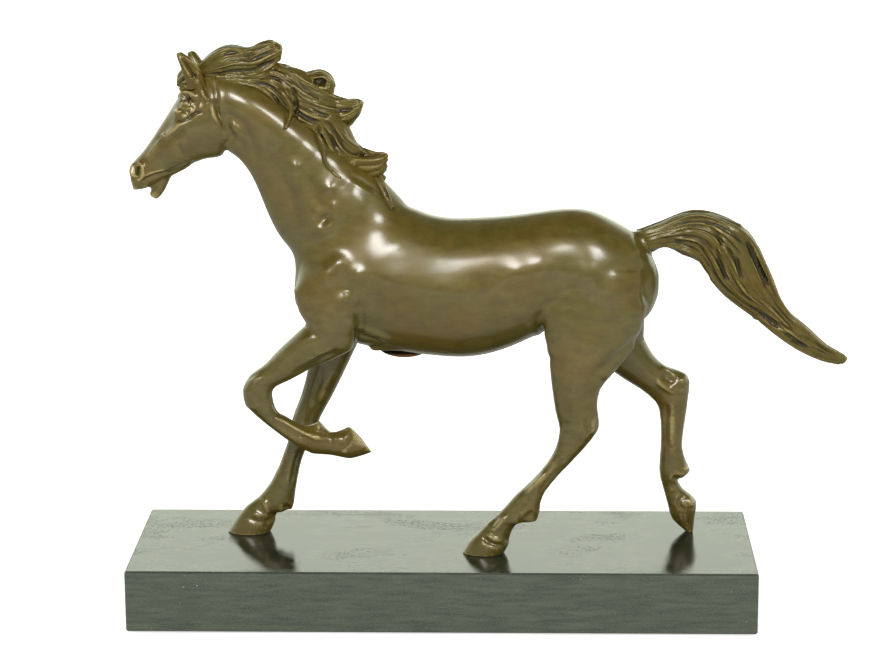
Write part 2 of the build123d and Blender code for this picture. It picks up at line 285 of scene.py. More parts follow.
def raise_points(mesh, heights):
    """Moves each vertex out along its normal by its height in mm."""
    set_points(mesh, points_of(mesh) + points_of(mesh, "normals") * heights[:, None] * MM)


def edge_ends(mesh):
    """The vertex at one end, and at the other, of each edge."""
    flat = np.zeros(len(mesh.edges) * 2, dtype=np.int64)
    mesh.edges.foreach_get("vertices", flat)
    return flat.reshape(-1, 2).T


def neighbour_mean(mesh):
    """A function that gives, for a value at each vertex, the mean of its neighbours' values."""
    one, other = edge_ends(mesh)
    count = len(mesh.vertices)
    neighbours = np.maximum(np.bincount(one, minlength=count) + np.bincount(other, minlength=count), 1)

    def mean(values):
        columns = values.reshape(count, -1).T
        sums = [np.bincount(one, c[other], count) + np.bincount(other, c[one], count) for c in columns]
        return (np.array(sums) / neighbours).T.reshape(values.shape)

    return mean


def soften(mesh, rounds, weight=1.0):
    """Evens out a mesh without shrinking it: each step in is followed by a slightly longer step out."""
    mean = neighbour_mean(mesh)
    points = points_of(mesh)
    for _ in range(rounds):
        for step in (0.5, -0.53):
            points = points + (mean(points) - points) * step * weight
    set_points(mesh, points)


def relief_of(mesh, rounds, depth, kept=1.0):
    """Stores how far each vertex stands above (1) or below (-1) the surface around it, as "relief"."""
    points, facing = points_of(mesh), points_of(mesh, "normals")
    mean = neighbour_mean(mesh)
    smooth = points
    for _ in range(rounds):
        smooth = mean(smooth)
    above = ((points - smooth) * facing).sum(1) / (depth * MM) * kept
    layer = mesh.attributes.new("relief", "FLOAT", "POINT")
    layer.data.foreach_set("value", np.clip(above, -1, 1).astype(np.float32))


def loose_parts(mesh):
    """A number for each vertex that is the same all over one loose part."""
    one, other = edge_ends(mesh)
    part = np.arange(len(mesh.vertices))
    while True:
        lowest = np.minimum(part[one], part[other])
        before = part.copy()
        np.minimum.at(part, one, lowest)
        np.minimum.at(part, other, lowest)
        part = part[part]
        if (part == before).all():
            return part


def keep_vertices(mesh, keep):
    """Deletes all vertices of a mesh but those marked."""
    with edited(mesh) as shape:
        bmesh.ops.delete(shape, geom=[v for v, k in zip(shape.verts, keep) if not k], context="VERTS")


def keep_widest(piece):
    """Deletes every loose part of a mesh but the widest: inner walls and crumbs."""
    part = loose_parts(piece.data)
    along = points_of(piece.data)[:, 0]
    widest = max(np.unique(part), key=lambda p: np.ptp(along[part == p]))
    if (part != widest).any():
        keep_vertices(piece.data, part == widest)


def as_drawn(points, plane, mirrored=False):
    """Side-view places in mm of points, as the eye at the camera sees them against an upright plane."""
    points = points / MM
    if mirrored:
        points[:, 1] = -np.abs(points[:, 1])
    eye = np.array(camera_place) / MM
    onto = (plane - eye[1]) / (points[:, 1] - eye[1])
    return (eye + (points - eye) * onto[:, None])[:, [0, 2]]


def curve_through(points, per_span=6):
    """A smooth line through given points, with small steps."""
    points = np.array(points, float)
    ends = np.vstack([2 * points[0] - points[1], points, 2 * points[-1] - points[-2]])
    t = np.linspace(0, 1, per_span, endpoint=False)[:, None]
    spans = [
        0.5 * (2 * b + (c - a) * t + (2 * a - 5 * b + 4 * c - d) * t**2 + (3 * b - a - 3 * c + d) * t**3)
        for a, b, c, d in zip(ends, ends[1:], ends[2:], ends[3:])
    ]
    return np.vstack([*spans, points[-1:]])


def stroked(places, strokes):
    """How far each place is raised by the strokes: (height, radius, point, point, ...), all in mm."""
    raised = np.zeros(len(places))
    for height, radius, *line in strokes:
        line = curve_through(line) if len(line) > 1 else np.array([line[0], line[0]], float)
        nothing_left = radius * 2.3
        inside = (places > line.min(0) - nothing_left) & (places < line.max(0) + nothing_left)
        near = np.nonzero(inside.all(1))[0]
        if not len(near):
            continue
        spot = places[near]
        best = np.full(len(near), 1e9)
        share = np.zeros(len(near))
        steps = max(len(line) - 1, 1)
        for i, (a, b) in enumerate(zip(line, line[1:])):
            along = b - a
            t = np.clip(((spot - a) @ along) / max(along @ along, 1e-9), 0, 1)
            gap = np.hypot(*(spot - a - t[:, None] * along).T)
            closer = gap < best
            best[closer] = gap[closer]
            share[closer] = ((i + t) / steps)[closer]
        ends = np.clip(3.2 * np.minimum(share, 1 - share), 0, 1) if steps > 1 else np.ones(len(near))
        raised[near] += height * ends * (2 - ends) * np.exp(-((best / radius) ** 2))
    return raised


def stroked_on(mesh, strokes):
    """How far the strokes raise each vertex of a mesh, each side as seen from its own side."""
    return stroked(as_drawn(points_of(mesh), 0, mirrored=True), strokes)


def tree_of(meshes):
    """A search tree over the surfaces of several meshes."""
    corners, faces = [], []
    for mesh in meshes:
        start = len(corners)
        corners += [v.co.copy() for v in mesh.vertices]
        faces += [[start + v for v in face.vertices] for face in mesh.polygons]
    return BVHTree.FromPolygons(corners, faces)


# The vent in the belly is stopped first, so that the skin grows over the outside alone.
skin = merged_copy(castings, "skin")
plug_low, plug_high = Vector((-34, -8, 128.6)) * MM, Vector((-6, 8, 134)) * MM
bpy.ops.mesh.primitive_cube_add(size=1, location=(plug_low + plug_high) / 2, scale=plug_high - plug_low)
plug = bpy.context.object
bpy.ops.object.transform_apply(location=True, rotation=True, scale=True)
with edited(skin.data) as shape:
    shape.from_mesh(plug.data)
bpy.data.objects.remove(plug)
apply_modifier(skin, "REMESH", mode="VOXEL", voxel_size=skin_voxel)
keep_widest(skin)

# Which casting each point of the skin belongs to is read from the nearest CAD surface.
cad_meshes = [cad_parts[name].data for name in castings]
cad_surface = tree_of(cad_meshes)
owner = np.repeat(np.arange(len(castings)), [len(mesh.polygons) for mesh in cad_meshes])


def casting_of(mesh):
    """The number of the nearest casting for every vertex."""
    return owner[[cad_surface.find_nearest(v.co)[2] for v in mesh.vertices]]


def lies_on(belongs, *names):
    """Marks the vertices that belong to the named castings."""
    return np.isin(belongs, [castings.index(name) for name in names])


# The trunk is evened out most, all but the dock, and the crease at the neck's root is filled.
belongs = casting_of(skin.data)
on_trunk, on_head = lies_on(belongs, "body_casting", "neck_casting"), lies_on(belongs, "head_casting")
behind_jaw = points_of(skin.data)[:, 0] > -116 * MM
trunk = (on_trunk | (on_head & behind_jaw)).astype(float)
mean = neighbour_mean(skin.data)
for _ in range(25):
    trunk = mean(trunk)
places = points_of(skin.data) / MM
dock = np.clip((places[:, 0] - 84) / 9, 0, 1) * np.clip((places[:, 2] - 160) / 12, 0, 1)
trunk_only = (trunk * (1 - dock))[:, None]
soften(skin.data, 7)
soften(skin.data, 130, trunk_only)
neck_root = stroked_on(skin.data, [
    (1.0, 6.5, (-84, 168), (-71, 169), (-57, 171), (-46, 175), (-36, 182), (-28, 189), (-18, 200)),
])
filled = (trunk * np.clip(neck_root * 1.5, 0, 1))[:, None]
places = points_of(skin.data)
for _ in range(170):
    places = places + filled * (mean(places) - places)
set_points(skin.data, places)

# Muscles and tendons: (height, radius, then points (x, z)), seen from the left, in mm.
both_sides = [
    (-1.7, 1.7, (-108, 247.5), (-105.5, 241.5), (-102, 236.5), (-99.8, 231), (-101.5, 226.5)),
    (0.8, 2.2, (-111, 245), (-108.3, 240.5), (-105.2, 236), (-103, 231), (-104.5, 227)),
    (1.2, 8.0, (-103, 252), (-95, 249), (-88, 244), (-80, 238), (-73, 232), (-67, 228), (-60, 222)),
    (-0.3, 5.0, (-97, 256), (-89, 252), (-81, 247), (-75, 241), (-66, 234), (-58, 226), (-52, 216)),
    (-1.6, 2.4, (-105.5, 246), (-101, 241.5), (-96, 238), (-92.5, 233.5), (-90, 227), (-87.5, 216)),
    (-1.3, 1.9, (-100.5, 232.5), (-96.5, 229), (-94, 225), (-92, 219)),
    (0.4, 2.2, (-100, 237), (-96.5, 233.5), (-93.5, 229)),
    (1.2, 4.2, (-76, 226), (-70, 215), (-65, 203), (-60.5, 188)),
    (-1.0, 3.4, (-81, 222), (-75.5, 210), (-71, 198), (-66.5, 186)),
    (-0.5, 2.6, (-66, 214), (-61, 204), (-58, 195)),
    (0.8, 9.0, (-66, 227), (-58, 220), (-50, 212), (-42, 205), (-34, 200)),
    (-0.6, 4.0, (-54, 215)), (-0.5, 3.5, (-46, 207)),
    (0.8, 2.6, (-68.5, 216.5)), (0.8, 2.4, (-53.3, 206)),
    (-1.7, 3.2, (-56.8, 193.5), (-54.6, 189.5)),
    (0.7, 1.5, (-52, 200), (-51, 196), (-51.3, 191)),
    (0.8, 1.7, (-62, 190), (-59.5, 186.2), (-55, 185.6), (-51.5, 188)),
    (-0.7, 1.5, (-44, 213), (-37, 208.5), (-31, 205), (-26.5, 202)),
    (0.4, 1.6, (-43, 210), (-36, 205.5), (-30, 202)),
    (1.7, 5.0, (-55.5, 164.5)), (1.7, 5.0, (-49.5, 169.5)),
    (1.2, 4.0, (-40, 163.5)), (0.8, 9.0, (-22, 159)),
    (1.0, 3.2, (-49.5, 150)), (0.8, 3.2, (-46, 153)),
    (1.0, 4.0, (-46, 157), (-44.5, 150), (-44.5, 142), (-46, 134)),
    (-1.3, 2.4, (-40.5, 151), (-39.3, 146), (-39.6, 138), (-41, 133)),
    (-0.8, 6.0, (-34, 164), (-35, 154), (-35, 145)),
    (1.2, 8.5, (-38, 161), (-28, 160), (-14, 157.5), (2, 155), (16, 154)),
    (-0.8, 8.0, (30, 161), (36, 154), (41, 147)),
    (1.1, 6.5, (38, 164)), (1.1, 6.5, (48, 168)),
    (1.4, 7.0, (70, 163)), (1.4, 7.0, (81, 157)),
    (-0.6, 2.4, (97.5, 170), (98, 160), (95, 150)),
    (0.4, 1.4, (101.5, 172), (102, 160), (99.5, 148)),
    (0.7, 5.0, (92, 155), (92, 145), (87, 134)),
    (-0.7, 3.0, (45.5, 146), (48.5, 140.5), (50, 135)),
    (0.5, 1.8, (40, 139), (44.5, 136.5), (48.5, 133)),
    (0.6, 6.0, (56, 150), (57, 140), (57, 130)),
    (0.8, 3.5, (87, 182), (91.5, 178), (95, 172.5)),
]
left_side = [
    (1.0, 1.3, (-40.5, 137.5), (-35, 136.3), (-30, 134), (-24, 131)),
    (-0.8, 1.3, (-40.5, 134.5), (-34, 133), (-28, 131)),
    (-1.7, 2.6, (97, 135), (88, 127), (79, 119), (71, 113)),
    (0.6, 2.4, (91, 126), (82, 118), (76, 113)),
    (-0.5, 1.9, (50, 125), (54, 121), (59, 117.5)),
]
left_fore_strokes = [
    (0.7, 2.4, (-60.5, 141), (-56, 142.5)),
    (1.0, 3.5, (-60, 138), (-70, 131), (-80, 124)),
    (-0.8, 1.3, (-49, 130), (-56, 127), (-63, 122.5), (-72, 119)),
    (0.8, 1.2, (-51, 131.5), (-57, 129.3), (-65, 125)),
    (0.5, 1.0, (-43, 130.5), (-52, 126.5), (-62, 121)),
    (0.8, 3.0, (-90, 117), (-88, 114)),
    (-0.5, 2.0, (-92, 109), (-88, 105), (-84, 101)),
    (0.9, 1.1, (-79, 97), (-73, 93), (-68, 90), (-62, 87.5), (-56, 86)),
    (-0.6, 1.2, (-78, 94), (-71, 89.5), (-63, 85.5)),
    (-0.9, 1.5, (-66, 92.5), (-60, 90.5), (-55, 88.5)),
    (-0.9, 1.0, (-50, 82), (-46, 84), (-44.5, 89)),
    (0.5, 1.0, (-48.5, 81), (-45.5, 79.5)),
    (0.5, 1.4, (-53, 86.5), (-48, 86.5)),
]
right_fore_strokes = [
    (0.7, 1.6, (-54, 113), (-58, 104), (-61, 97)),
    (-0.6, 1.6, (-58, 114), (-62, 104), (-65, 94)),
    (0.6, 2.0, (-76, 76), (-80, 66), (-83, 56)),
    (-1.0, 1.4, (-70.5, 74), (-73.5, 64), (-75.5, 53)),
    (-1.3, 1.9, (-80, 43), (-77.5, 43), (-76, 44.5)),
    (0.9, 1.8, (-73.3, 44), (-73, 41.5)),
    (0.7, 1.4, (-90, 49), (-88, 43), (-87, 37)),
    (-0.5, 1.1, (-97.5, 38), (-93, 36), (-88, 36), (-85, 38.5)),
    (0.6, 1.6, (-96, 40.5), (-91, 39), (-87.5, 39.5)),
    (-0.6, 1.2, (-90, 33), (-87, 34)),
]
left_hind_strokes = [
    (0.8, 3.0, (62, 118), (63, 108), (64, 98)),
    (-0.6, 1.8, (71, 118), (70.5, 109), (71, 101)),
    (-1.0, 1.5, (69, 99), (69.5, 94), (71.5, 92)),
    (0.7, 1.2, (72.5, 99), (72.3, 95), (71.5, 90)),
    (-0.5, 1.6, (60, 97), (59, 91)),
    (0.9, 1.2, (50, 71), (45, 65.5), (40, 60)),
    (-0.7, 1.5, (58, 75), (51, 67), (45, 58)),
    (0.8, 1.5, (31, 50), (26.5, 44), (23.5, 41)),
    (-0.8, 1.6, (27, 49), (23, 44)),
    (-0.9, 1.9, (36, 46), (41, 48.5), (44, 52)),
    (-1.0, 1.0, (19.5, 39), (22, 36.3), (26, 34.7), (30, 34.3)),
    (0.6, 1.0, (21, 40.5), (24.5, 38), (29, 36.8)),
    (-0.5, 1.2, (31, 40), (31, 36)),
]
right_hind_strokes = [
    (0.9, 1.3, (103, 109), (107.5, 105), (113, 101.5)),
    (-1.5, 2.2, (106, 111.5), (109.5, 109.3), (112.5, 106.5)),
    (0.7, 1.2, (106, 115), (110, 112.7), (114, 109)),
    (0.8, 2.2, (116, 111), (117, 106), (115.5, 101)),
    (0.6, 1.5, (111, 98), (111.5, 90), (111.5, 80), (112, 70)),
    (-0.8, 1.6, (109, 97), (108.7, 88), (108.5, 75)),
    (-0.6, 1.4, (115, 98), (114.8, 86), (114.5, 74)),
    (-1.0, 1.4, (112, 59.5), (115.5, 58), (116, 56)),
    (0.8, 1.4, (119, 64.5), (118, 62.5)),
    (-0.9, 1.2, (118, 50), (115.5, 46), (118, 42)),
    (0.7, 1.2, (120.5, 49), (122, 44)),
    (-0.5, 1.2, (113, 52), (112, 46)),
]
places = points_of(skin.data)
left_half = places[:, 1] < 0
seen_flat = as_drawn(places, 0, mirrored=True)
lift = np.where(on_head, 0, stroked(seen_flat, both_sides))
lift += np.where(left_half, stroked(seen_flat, left_side), 0)
# Each leg is drawn on the upright plane that it stands in, at y in mm.
for name, y, strokes in (
    ("left_fore_leg", -14, left_fore_strokes), ("right_fore_leg", 14, right_fore_strokes),
    ("left_hind_leg", -18, left_hind_strokes), ("right_hind_leg", 15, right_hind_strokes),
):
    limb_side = left_half if y < 0 else ~left_half
    mine = np.nonzero(limb_side & (lies_on(belongs, name) | on_trunk))[0]
    lift[mine] += stroked(as_drawn(places[mine], y), strokes)
raise_points(skin.data, lift)
soften(skin.data, 2)
soften(skin.data, 14, trunk_only)

# Brown patina under wax: cloudy olive and warm brown, dark in the hollows, rubbed to gold on the edges.
patina = bpy.data.node_groups.new("patina", "ShaderNodeTree")
patina_sockets = {
    "INPUT": {"Place": "Vector", "Relief": "Float", "Worn From": "Float", "Dark From": "Float"},
    "OUTPUT": {"Colour": "Color", "Roughness": "Float", "Height": "Float"},
}
for way, kinds in patina_sockets.items():
    for name, kind in kinds.items():
        patina.interface.new_socket(name=name, in_out=way, socket_type="NodeSocket" + kind)
given = patina.nodes.new("NodeGroupInput").outputs
look = Nodes(patina)
warm = look.spread(look.noise(given["Place"], 34, 4, 0.55), 0.47, 0.66)
cloudy = look.spread(look.noise(look.stretched(given["Place"], (1.0, 1.0, 1.8)), 130, 6, 0.62), 0.3, 0.7)
olive = look.mix(cloudy, (0.074, 0.054, 0.006, 1), (0.112, 0.086, 0.015, 1))
brown = look.mix(cloudy, (0.088, 0.053, 0.005, 1), (0.128, 0.084, 0.011, 1))
fine = look.noise(given["Place"], 900, 3, 0.7)
standing = look.maths("ADD", given["Relief"], look.spread(fine, 0.35, 0.65, -0.12, 0.12))
sunk_past = look.maths("SUBTRACT", look.maths("MULTIPLY", standing, -1.0), given["Dark From"])
dark = look.spread(sunk_past, 0.0, 0.5, to_high=0.85)
worn = look.spread(look.maths("SUBTRACT", standing, given["Worn From"]), 0.0, 0.45, to_high=0.9)
darkened = look.mix(dark, look.mix(warm, olive, brown), (0.022, 0.017, 0.007, 1))
given_back = {
    "Colour": look.mix(worn, darkened, (0.33, 0.25, 0.095, 1)),
    "Roughness": look.spread(cloudy, to_low=0.36, to_high=0.46),
    "Height": fine,
}
taken_out = patina.nodes.new("NodeGroupOutput").inputs
for socket, value in given_back.items():
    patina.links.new(value, taken_out[socket])


def bronze_finish(name, worn_from, dark_from, metallic, coat):
    """A bronze material over the patina group. The limbs, low on the horse, are more rubbed and rougher."""
    material = bpy.data.materials.new(name)
    look = emptied(material)
    place = look.place()
    limb_top, limb_full = 0.128, 0.09
    limb = look.spread(look.add("SeparateXYZ", Vector=place).outputs["Z"], limb_top, limb_full)
    surface = look.add(
        "Group", {"node_tree": patina}, Place=place, Dark_From=dark_from,
        Relief=look.add("Attribute", {"attribute_name": "relief"}).outputs["Fac"],
        Worn_From=look.spread(limb, to_low=worn_from, to_high=worn_from * 0.5),
    ).outputs
    ripple = look.bump(surface["Height"], look.spread(limb, to_low=0.2, to_high=0.6), 0.00012)
    look.principled(
        Base_Color=surface["Colour"], Metallic=metallic, Roughness=surface["Roughness"], Normal=ripple,
        Coat_Weight=coat, Coat_Roughness=0.2, Specular_IOR_Level=0.2,
    )
    return material


bronze = bronze_finish("bronze_patina", 0.34, 0.25, 0.22, 0.9)
bronze_hair = bronze_finish("bronze_hair_patina", 0.62, 0.22, 0.3, 0.35)

# --- the seams: the skin parted where the castings meet ---
# A saw cut far thinner than a hair at each welded joint, square to it, leaves each casting closed.
saw_cut = 0.01 * MM
joints = [
    ("neck_casting", "body_casting", 5.0), ("head_casting", "neck_casting", 4.0),
    ("left_fore_leg", "body_casting", 2.5), ("right_fore_leg", "body_casting", 2.5),
    ("left_hind_leg", "body_casting", 3.0), ("right_hind_leg", "body_casting", 3.0),
]
saw = add_mesh("saw", bpy.data.meshes.new("saw"))
seams = {}
for casting, carrier, margin in joints:
    carrier_surface = tree_of([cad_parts[carrier].data])
    shared = np.array([
        v.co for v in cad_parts[casting].data.vertices
        if carrier_surface.find_nearest(v.co)[3] < touching
    ])
    centre = shared.mean(0)
    axes = np.linalg.svd(shared - centre, full_matrices=False)[2]
    seams[casting] = (centre, axes[2])
    reach = np.abs((shared - centre) @ axes.T).max(0) + margin * MM
    reach[2] = saw_cut / 2
    turn = Matrix([list(a) for a in axes]).transposed()
    if turn.determinant() < 0:
        turn = turn @ Matrix.Diagonal((1, 1, -1))
    grow = Matrix.Diagonal(Vector(reach * 2).to_4d())
    with edited(saw.data) as shape:
        bmesh.ops.create_cube(shape, size=1, matrix=Matrix.Translation(centre) @ turn.to_4x4() @ grow)
uncut = skin.data.copy()
apply_modifier(skin, "BOOLEAN", operation="DIFFERENCE", solver="MANIFOLD", object=saw)
bpy.data.objects.remove(saw)
part = loose_parts(skin.data)
belongs = casting_of(skin.data)
crumb = 200
pieces = {}
for p in np.unique(part):
    if (part == p).sum() < crumb:
        continue
    casting = castings[np.bincount(belongs[part == p]).argmax()]
    piece = add_mesh(casting + "_skin", skin.data.copy())
    keep_vertices(piece.data, part == p)
    piece.data.set_sharp_from_angle(angle=math.radians(50))
    piece.data.shade_smooth()
    piece.data.materials.clear()
    piece.data.materials.append(bronze)
    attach(piece, "root")
    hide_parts(casting)
    pieces[casting] = piece
bpy.data.objects.remove(skin)

# --- face and legs ---
# The head is cast solid with its open mouth. Eyes, nostrils, lips and the edge of the cheek are chased
# into the metal with small punches and a graver, and the legs are smoothed with fine files.


def finer(casting, strokes=()):
    """Divides a casting's mesh once, then shapes the small detail, which fades out at its saw cut."""
    apply_modifier(pieces[casting], "SUBSURF", subdivision_type="SIMPLE", levels=1, render_levels=1)
    mesh = pieces[casting].data
    centre, along = seams[casting]
    free = np.clip(np.abs((points_of(mesh) - centre) @ along) / (2 * MM), 0, 1)
    soften(mesh, 3, free[:, None])
    raise_points(mesh, stroked_on(mesh, strokes) * free)
    soften(mesh, 2, 0.5 * free[:, None])


face_strokes = [
    (0.9, 9.0, (-112, 233)),
    (-2.0, 1.2, (-107, 249), (-105, 242), (-101.3, 236), (-99.5, 230.5), (-101.5, 226)),
    (0.6, 1.2, (-109.3, 247), (-107.5, 241), (-104.2, 236), (-102.6, 231), (-104.5, 226.5)),
    (-0.9, 1.6, (-125, 228), (-122.5, 223), (-119.5, 218)),
    (-0.7, 1.0, (-116, 219.5), (-124, 216), (-131, 213.4)),
    (-0.8, 0.8, (-144, 209.3), (-140, 211.3), (-135, 213.2), (-130, 214)),
    (0.5, 0.9, (-143, 211.5), (-137, 213.8), (-130, 215.6)),
    (0.5, 0.8, (-147.5, 206.5), (-143, 206.5), (-139, 208.2)),
    (0.9, 1.4, (-119, 241), (-125, 235.5), (-131.5, 230.5)),
    (-0.6, 1.5, (-121, 236), (-127, 231), (-132, 227)),
    (0.6, 1.0, (-132.5, 233), (-131, 230.5)),
    (-0.6, 2.2, (-126, 243), (-131, 235), (-137, 226.5)),
    (0.7, 1.2, (-133, 230), (-137, 224), (-140.5, 219.5)),
    (1.0, 0.8, (-144.3, 218.8), (-142.3, 217), (-141.9, 213.5), (-143.2, 210.6), (-145.6, 210.4)),
    (0.8, 0.7, (-146.2, 218.6), (-147.6, 215), (-147.2, 211.4)),
    (-2.6, 0.95, (-144.8, 217.0), (-145, 214.5), (-144.9, 212.2)),
    (-1.7, 2.8, (-122, 248.6), (-118.5, 249)),
    (2.0, 1.6, (-120.3, 247.1)),
    (1.1, 1.1, (-124.8, 250), (-121.5, 252), (-117.8, 251.6), (-114.5, 248.6)),
    (-1.0, 0.55, (-123, 247.2), (-121.4, 249), (-118.9, 249.3), (-116.8, 247.4)),
    (0.7, 0.75, (-123.6, 245.6), (-120.6, 244.4), (-117, 245.4)),
    (1.2, 1.3, (-124.2, 243)), (1.0, 1.3, (-121.6, 241.2)), (1.0, 1.3, (-117.6, 243.4)),
    (0.9, 1.3, (-113.6, 245.8)), (0.9, 1.5, (-110.5, 248.4)),
    (-1.1, 0.8, (-126, 240), (-123, 238.4), (-119.6, 239.8), (-116, 242.5), (-112, 243.2)),
    (1.4, 2.2, (-116.5, 258), (-113.5, 252.5), (-111, 247.5)),
    (-0.7, 1.3, (-107.5, 258), (-106.2, 251), (-106, 246)),
    (-0.8, 1.2, (-119.5, 256), (-117.8, 252.5)),
]
finer("head_casting", face_strokes)
for casting in ("left_fore_leg", "right_fore_leg", "left_hind_leg", "right_hind_leg"):
    finer(casting)

# --- core vent ---
# The moulder's core came out through a vent under the girth. Its far lip hangs a little lower, and the
# raw coppery metal of the casting shows inside it, with painted shade, near black, further up inside.
body = pieces["body_casting"]
belly = tree_of([body.data]).ray_cast(Vector((-20 * MM, 0, 100 * MM)), Vector((0, 0, 1)))[0].z / MM
vent_middle = np.array([-18.4, -2.3, belly + 2.5]) * MM
vent_half = np.array([11.6, 4.4, 8.6]) * MM
lip_middle, lip_half = np.array([-18.4, 2.0, belly + 0.9]) * MM, np.array([13.2, 2.8, 6.6]) * MM
for middle, half, operation in (
    (lip_middle, lip_half, "UNION"),
    (vent_middle, vent_half, "DIFFERENCE"),
):
    bpy.ops.mesh.primitive_uv_sphere_add(segments=64, ring_count=32, radius=1, location=middle)
    core = bpy.context.object
    core.scale = half
    bpy.ops.object.transform_apply(location=True, rotation=True, scale=True)
    core.data.shade_smooth()
    core.data.materials.append(bronze)
    apply_modifier(body, "BOOLEAN", object=core, operation=operation, solver="MANIFOLD")
    bpy.data.objects.remove(core)
copper_and_painted_shade = bpy.data.materials.new("raw_copper_and_painted_shade_inside")
look = emptied(copper_and_painted_shade)
place = look.place()
cast_grain = look.noise(place, 600, 6, 0.7)
tone = look.mix(cast_grain, (0.1, 0.05, 0.014, 1), (0.34, 0.15, 0.05, 1))
up_inside = look.add("SeparateXYZ", Vector=place).outputs["Z"]
# Painted shade: above this height the inside of the vent is painted near black, for the shade in the hollow.
painted_shade_inside = look.spread(up_inside, (belly - 4.4) * MM, (belly - 3.4) * MM)
look.principled(
    Base_Color=look.mix(painted_shade_inside, tone, (0.006, 0.005, 0.003, 1)), Roughness=0.7, Specular_IOR_Level=0.1,
    Normal=look.bump(cast_grain, 0.6, 0.0003),
)
body.data.materials.append(copper_and_painted_shade)
copper_and_shade_slot = body.data.materials.find(copper_and_painted_shade.name)
on_wall = 0.03
for face in body.data.polygons:
    in_vent = np.linalg.norm((np.array(face.center) - vent_middle) / vent_half)
    on_lip = np.linalg.norm((np.array(face.center) - lip_middle) / lip_half)
    lip_front = abs(on_lip - 1) < on_wall and face.normal.y < -0.3
    face.material_index = copper_and_shade_slot if abs(in_vent - 1) < on_wall or lip_front else 0

# --- raised hoof ---
# The lifted hoof is cast hollow under its wall, as a real sole is. The sole leans a little to the left.
raised_hoof = pieces["left_fore_leg"].data
sole_facing, sole_half = np.array([0.77, 0.0, 0.64]), np.array([5.2, 4.8, 6.2]) * MM
sole_depth, sole_lean, hoof_height = 2.6 * MM, 0.19, 4 * MM
places, facing = points_of(raised_hoof), points_of(raised_hoof, "normals")
behind_knee = places[:, 0] > -60 * MM
on_sole = (facing @ sole_facing > 0.93) & behind_knee & (places[:, 2] < 92 * MM)
sole_middle = places[on_sole].mean(0)
off = places - sole_middle
height = off @ sole_facing
flat = off - height[:, None] * sole_facing
reach = np.linalg.norm(flat / sole_half, axis=1)
bowl = np.clip(1 - reach ** 2, 0, 1) * (np.abs(height) < 1.5 * MM)
places = places - sole_facing * (sole_depth * bowl ** 0.7)[:, None]
near_sole = np.clip(1 + height / hoof_height, 0, 1) * behind_knee * (places[:, 2] < 95 * MM)
sheared = np.clip(sole_middle[1] - places[:, 1], -sole_half[1], sole_half[1]) * sole_lean
set_points(raised_hoof, places + sole_facing * (near_sole * sheared)[:, None])

# --- chasing of the castings ---
# High spots take the rubbing and hollows keep the dark patina, but for the places beside a saw cut. There
# each piece is also shaded as the uncut skin is, because the welds are filed until no joint shows.
relief_depth = {"body_casting": 3.0, "neck_casting": 3.0, "head_casting": 0.5}
for casting, piece in pieces.items():
    places = points_of(piece.data)
    kept = np.ones(len(places))
    for centre, along in seams.values():
        off = np.abs((places - centre) @ along) + 0.12 * np.linalg.norm(places - centre, axis=1)
        kept = np.minimum(kept, np.clip(off / (3 * MM) - 0.9, 0, 1))
    relief_of(piece.data, 14, relief_depth.get(casting, 0.7), kept)
uncut_surface = tree_of([uncut])
uncut_facing = points_of(uncut, "normals")
for piece in pieces.values():
    places = points_of(piece.data)
    beside = np.zeros(len(places), bool)
    for centre, along in seams.values():
        beside |= np.abs((places - centre) @ along) < 1.0 * MM
    facing = np.zeros_like(places)
    for v in np.nonzero(beside)[0]:
        spot, _, face, gap = uncut_surface.find_nearest(Vector(places[v]))
        if gap < 0.03 * MM:
            corners = list(uncut.polygons[face].vertices)
            shares = poly_3d_calc([uncut.vertices[c].co for c in corners], spot)
            facing[v] = np.array(shares) @ uncut_facing[corners]
    piece.data.normals_split_custom_set_from_vertices(facing.tolist())
hollow = pieces["left_fore_leg"].data.attributes["relief"].data
for v in np.nonzero(bowl > 0.15)[0]:
    hollow[int(v)].value = -0.9

# --- hair of the mane, forelock and tail ---
# Each lock is a solid casting modelled in wax strand by strand. The strands lie on the lock's mass, run
# together at its tip, and leave deep grooves between them.
hair_voxel, fine_voxel = 0.45 * MM, 0.35 * MM
tube_sides = 8


def seated(line, side, surface, proud):
    """Lays a drawn line (x, z) on a surface, as seen from the left (-1) or the right (1) side, in metres."""
    eye = Vector((camera_place.x, camera_place.y * -side, camera_place.z))
    result = []
    for x, z in line:
        aim = Vector((x, 0, z)) * MM
        ray = (aim - eye).normalized()
        hit, normal, _, _ = surface.ray_cast(eye, ray)
        result.append(hit + normal * proud * MM if hit and abs(hit.y) < 0.05 else None)
    found = [i for i, spot in enumerate(result) if spot is not None]
    for i, spot in enumerate(result):
        if spot is None:
            edge = min(found, key=lambda j: abs(j - i)) if found else None
            depth = result[edge].y * max(0.0, 1 - abs(edge - i) / 6) if found else 0.0
            share = (depth - eye.y) / -eye.y
            aim = Vector((line[i][0], 0, line[i][1])) * MM
            result[i] = eye + (aim - eye) * share
    points = np.array([list(p) for p in result])
    for _ in range(3):
        points[1:-1, 1] = (points[:-2, 1] + 2 * points[1:-1, 1] + points[2:, 1]) / 4
    return points


def tube(shape, points, radii):
    """Adds a closed round tube through points to a bmesh."""
    rings = []
    forward = np.gradient(points, axis=0)
    forward /= np.linalg.norm(forward, axis=1)[:, None] + 1e-12
    up = np.array([0.0, 1.0, 0.0])
    turns = np.linspace(0, 2 * math.pi, tube_sides, endpoint=False)
    for spot, ahead, radius in zip(points, forward, radii):
        across = np.cross(ahead, up)
        across /= np.linalg.norm(across) + 1e-12
        over = np.cross(across, ahead)
        ring = spot + radius * (np.outer(np.cos(turns), across) + np.outer(np.sin(turns), over))
        rings.append([shape.verts.new(p) for p in ring])
    for one, other in zip(rings, rings[1:]):
        for i in range(tube_sides):
            j = (i + 1) % tube_sides
            shape.faces.new((one[i], one[j], other[j], other[i]))
    shape.faces.new(rings[0][::-1])
    shape.faces.new(rings[-1])


